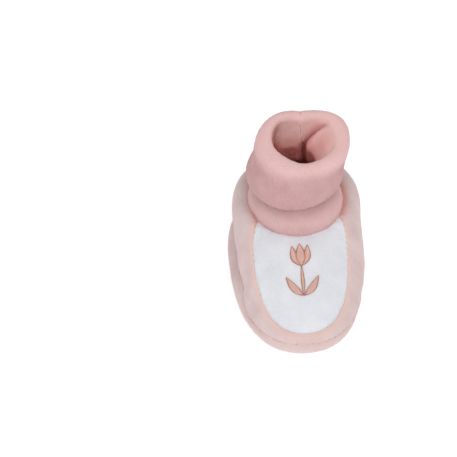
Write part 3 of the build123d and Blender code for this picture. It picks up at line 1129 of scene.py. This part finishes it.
def store_knit_shading(piece, line, share):
    """Painted light and shade on the knit: a painted highlight over the rim's fold and low on the ankle
    tube, painted light on the inner face, and painted shade deep down, in the back corners and along the
    back seam.
    """
    z = line[..., 2]
    degrees = BACK + np.arange(line.shape[1]) * 360 / line.shape[1]
    depth = depth_in(z)
    angle = degrees[None] - TWIST * depth
    # Painted shade in the back corners, on the right wall and deeper down the tube.
    crease = np.maximum(turned(angle, 44 + 24 * depth, 16), turned(angle, 140 - 8 * depth, 14) * 0.7)
    crease = 0.45 * crease * smoothstep(0.05, 0.3, depth)
    wall = 0.4 * turned(angle, 18, 30) * smoothstep(0.05, 0.5, depth)
    deep = share * np.maximum(np.maximum(smoothstep(RIM_Z - 10, RIM_Z - 24, z), crease), wall)
    # Painted shade along the back seam's groove.
    deep = np.maximum(deep, turned(degrees, BACK, 1.2)[None] * smoothstep(0.3, 0.7, share))
    # Painted highlight over the rim's fold and low on the ankle tube.
    fold_highlight = smoothstep(RIM_Z - 12, RIM_Z - 5, z) * (1 - share) + smoothstep(46, 41, z) * share
    ankle = 0.7 * smoothstep(50, 41, z) * share
    hidden = np.zeros_like(share)
    tones = {"stretched": (ankle, fold_highlight), "inside": (hidden, share), "deep": (hidden, deep)}
    for name, (first, second) in tones.items():
        store(piece, name, np.concatenate([first, second[::-1]]))


def store_knit_places(piece, line):
    """Counts ribs and courses of knitting at each corner of the cuff's faces."""
    columns = line.shape[1]
    run = row_distance(line).mean(1)
    courses = np.concatenate([run, run[::-1]]) / COURSE
    corner = np.zeros(len(piece.data.loops), int)
    piece.data.loops.foreach_get("vertex_index", corner)
    column, row = corner % columns, corner // columns
    # Faces that close the ring count on, instead of running back to the first rib.
    wraps = np.repeat(column.reshape(-1, 4).max(1) == columns - 1, 4) & (column < 2)
    places = np.zeros((len(corner), 3), np.float32)
    places[:, 0] = (column + wraps * columns) / RIB_COLUMNS
    places[:, 1] = courses[row]
    piece.data.attributes.new("knit", "FLOAT_VECTOR", "CORNER").data.foreach_set("vector", places.ravel())


def make_cuff():
    """The closed knit tube: both faces of the middle line, ribbed, with rounded edges."""
    line, share = cuff_lines()
    rows, columns = line.shape[:2]
    normals = grid_normals(line, True)
    tube_part = slice(0, rows // 3)
    outward = ((line[tube_part] - line.mean((0, 1))) * normals[tube_part])[..., :2].sum() > 0
    normals = normals if outward else -normals
    rib = RIB_HEIGHT * np.cos(2 * math.pi * np.arange(columns) / RIB_COLUMNS)
    ends = np.ones(rows)
    ends[:2], ends[-2:] = (0.5, 0.85), (0.85, 0.5)
    half = (KNIT / 2 * ends)[:, None] + rib[None] + 0.06 * ripples(line, 2.4, 10)
    first, second = line + normals * half[..., None], line - normals * half[..., None]
    faces = grid_faces(2 * rows, columns, True)
    last = (2 * rows - 1) * columns
    faces += [(last + j, last + (j + 1) % columns, (j + 1) % columns, j) for j in range(columns)]
    piece = new_object("cuff_knit", np.concatenate([first, second[::-1]]).reshape(-1, 3), faces)
    store_knit_places(piece, line)
    store_knit_shading(piece, line, share)
    turn_faces_out(piece)
    settle(piece, rose_knit, "rib_knit", "rib_cuff")
    return piece, second, normals


cuff, cuff_face, cuff_normals = make_cuff()

# ---- the overlocked seam up the back of the cuff, on the inside ----
OVERLOCK_PITCH, OVERLOCK_WIDTH, OVERLOCK_RADIUS = 0.9, 0.45, 0.13
OVERLOCK_ROWS = slice(3, 46)  # from just above the ankle seam to the fold


def make_back_seam():
    """Slanting overlock threads down the inside of the cuff's back."""
    line, inward = cuff_face[OVERLOCK_ROWS, 0], -cuff_normals[OVERLOCK_ROWS, 0]
    run = run_along(line)
    strands = []
    for at in np.arange(0.5, run[-1] - 0.5, OVERLOCK_PITCH):
        t = np.linspace(-1, 1, 6)[:, None]
        place = at + t[:, 0] * OVERLOCK_PITCH * 0.45
        spots = points_at(place, run, line) + points_at(place, run, inward) * (0.10 + 0.14 * (1 - t * t))
        strands.append(tube(spots + t * [[OVERLOCK_WIDTH, 0, 0]], OVERLOCK_RADIUS, 5))
    settle(strands_object("cuff_seam_overlock", strands), rose_thread, "seam_thread", "cuff_seam_thread")


make_back_seam()

# ---- embroidery ----
STRAND = 0.36  # pitch of the satin stitches
SHORTEST = 0.5  # a satin stitch shorter than this is left out
SATIN_CROWN = 0.35
CORD_RADIUS, CORD_STITCH, CORD_LIFT = 0.2, 1.1, 0.22
vamp_points = [tuple(c / MM for c in v.co) for v in vamp_piece.data.vertices]
vamp_tree = BVHTree.FromPolygons(vamp_points, [tuple(p.vertices) for p in vamp_piece.data.polygons])


def on_vamp(x, y, lift):
    """A point of the vamp's surface under (x, y), raised by lift."""
    hit, normal, *_ = vamp_tree.ray_cast(Vector((x, y, FAR)), Vector((0, 0, -1)))
    normal = normal if normal.z > 0 else -normal
    return np.array(hit + normal * lift)


def chords(outline, angle):
    """Where the satin's lines at an angle cross a closed outline: pairs of end points."""
    levels = lambda off: np.arange(off.min() + STRAND / 2, off.max(), STRAND)
    way, side, found = crossings(outline, angle, levels)
    ends = [(min(cuts), max(cuts), level) for level, cuts in found if len(cuts) >= 2]
    return [(first * way + level * side, last * way + level * side) for first, last, level in ends]


def satin(outline, angle, lift):
    """Satin stitches filling an outline, domed across each stitch."""
    strands = []
    for a, b in chords(outline, angle):
        span = float(np.linalg.norm(b - a))
        if span < SHORTEST:
            continue
        shares = np.linspace(0, 1, max(5, int(span / 0.7) + 2))
        dome = SATIN_CROWN * np.sin(math.pi * shares) ** 0.5
        jitter = rng.uniform(-0.05, 0.05) * 0.5
        spots = [on_vamp(*(a + (b - a) * t), lift + h + jitter) for t, h in zip(shares, dome)]
        strands.append(tube(spots, STRAND * 0.56, 6, 0.6))
    return strands


def outline_cord(outline, lift):
    """A fine cord of short stitches round an outline."""
    closed = even_run(np.concatenate([outline, outline[:1]]), max(12, int(len(outline) * 1.2)))
    line = np.array([on_vamp(x, y, lift) for x, y in closed])
    run = run_along(line)
    count = max(4, int(run[-1] / CORD_STITCH))
    pitch = run[-1] / count
    strands = []
    for k in range(count):
        spot = points_at((k * pitch + np.linspace(-0.08, pitch + 0.08, 5)) % run[-1], run, line)
        spot[:, 2] += 0.1 * np.sin(np.linspace(0, math.pi, 5))
        strands.append(tube(spot, CORD_RADIUS, 6, 0.6))
    return strands


def leaf_outline(base, tip, width, bend=0.0, count=13):
    """A pointed petal or leaf from base to tip, bent to one side."""
    base, tip = np.array(base, float), np.array(tip, float)
    way = tip - base
    side = np.array([-way[1], way[0]]) / np.linalg.norm(way)
    edge = []
    for start, end, half in ((0, 1, width), (1, 0, -width)):
        for t in np.linspace(start, end, count, endpoint=False):
            out = half * math.sin(math.pi * t**0.85) + bend * math.sin(math.pi * t)
            edge.append(base + way * t + side * out)
    return np.array(edge)


def make_embroidery():
    """A tulip: three petals, a stem and two leaves, each filled and outlined."""
    (_, bloom_base, _), (wide, bloom_top, _) = box_mm("embroidery_bloom")
    (_, stem_base, _), (_, stem_top, _) = box_mm("embroidery_stem")
    (_, leaf_base, _), (leaf_side, leaf_top, _) = box_mm("embroidery_leaves")
    base, tall = (0.0, bloom_base), bloom_top - bloom_base
    petals, leaves = [], []
    for s in (-1, 1):
        petals.append(leaf_outline(base, (s * wide * 0.82, bloom_base + tall * 0.94), 1.75, -s * 1.25))
        leaves.append(leaf_outline((s * 0.4, leaf_base - 0.4), (s * leaf_side, leaf_top), 1.45, -s * 0.9))
    petals.append(leaf_outline(base, (0, bloom_base + tall), 2.1))
    stem = leaf_outline((0.0, stem_base), (0.0, stem_top + 0.6), 0.75)
    tilt, leaf_tilt = math.radians(24), math.radians(28)
    # Each outline with the angle of its stitches and how far they lie off the vamp.
    groups = {
        "bloom": zip(petals, (tilt, -tilt, 0.1), (0.16, 0.16, 0.42)),
        "stem": [(stem, 0.25, 0.12)],
        "leaves": zip(leaves, (-leaf_tilt, leaf_tilt), (0.14, 0.14)),
    }
    for name, outlines in groups.items():
        fill, edge = [], []
        for outline, angle, lift in outlines:
            fill += satin(outline, angle, lift)
            edge += outline_cord(outline, lift + CORD_LIFT)
        piece = strands_object(f"embroidery_{name}_satin", fill)
        settle(piece, motif_thread, "embroidery_thread", f"embroidery_{name}")
        cord = strands_object(f"embroidery_{name}_outline", edge)
        settle(cord, outline_thread, "embroidery_thread")


make_embroidery()


BACKING_LIFT = 0.02  # air between the velour and the stabiliser


def make_backing():
    """The stabiliser behind the embroidery, between the velour and the wadding."""
    low, high = box_mm("embroidery_backing")
    columns, rows = 21, 27
    hits = []
    for y in np.linspace(low[1], high[1], rows):
        for x in np.linspace(low[0], high[0], columns):
            hits.append(tree.ray_cast(Vector((x, y, FAR)), Vector((0, 0, -1))))
    surface = np.array([tuple(hit[0]) for hit in hits]).reshape(rows, columns, 3)
    normal = np.array([tuple(hit[1]) for hit in hits]).reshape(rows, columns, 3)
    outer, inner = (drape(surface - normal * (FABRIC + depth)) for depth in (BACKING_LIFT, GAP))
    piece = new_object("embroidery_backing_sheet", *panel_mesh(outer, inner, False))
    settle(piece, backing_felt, "backing_sheet", "embroidery_backing")


make_backing()

make_camera()
make_studio()
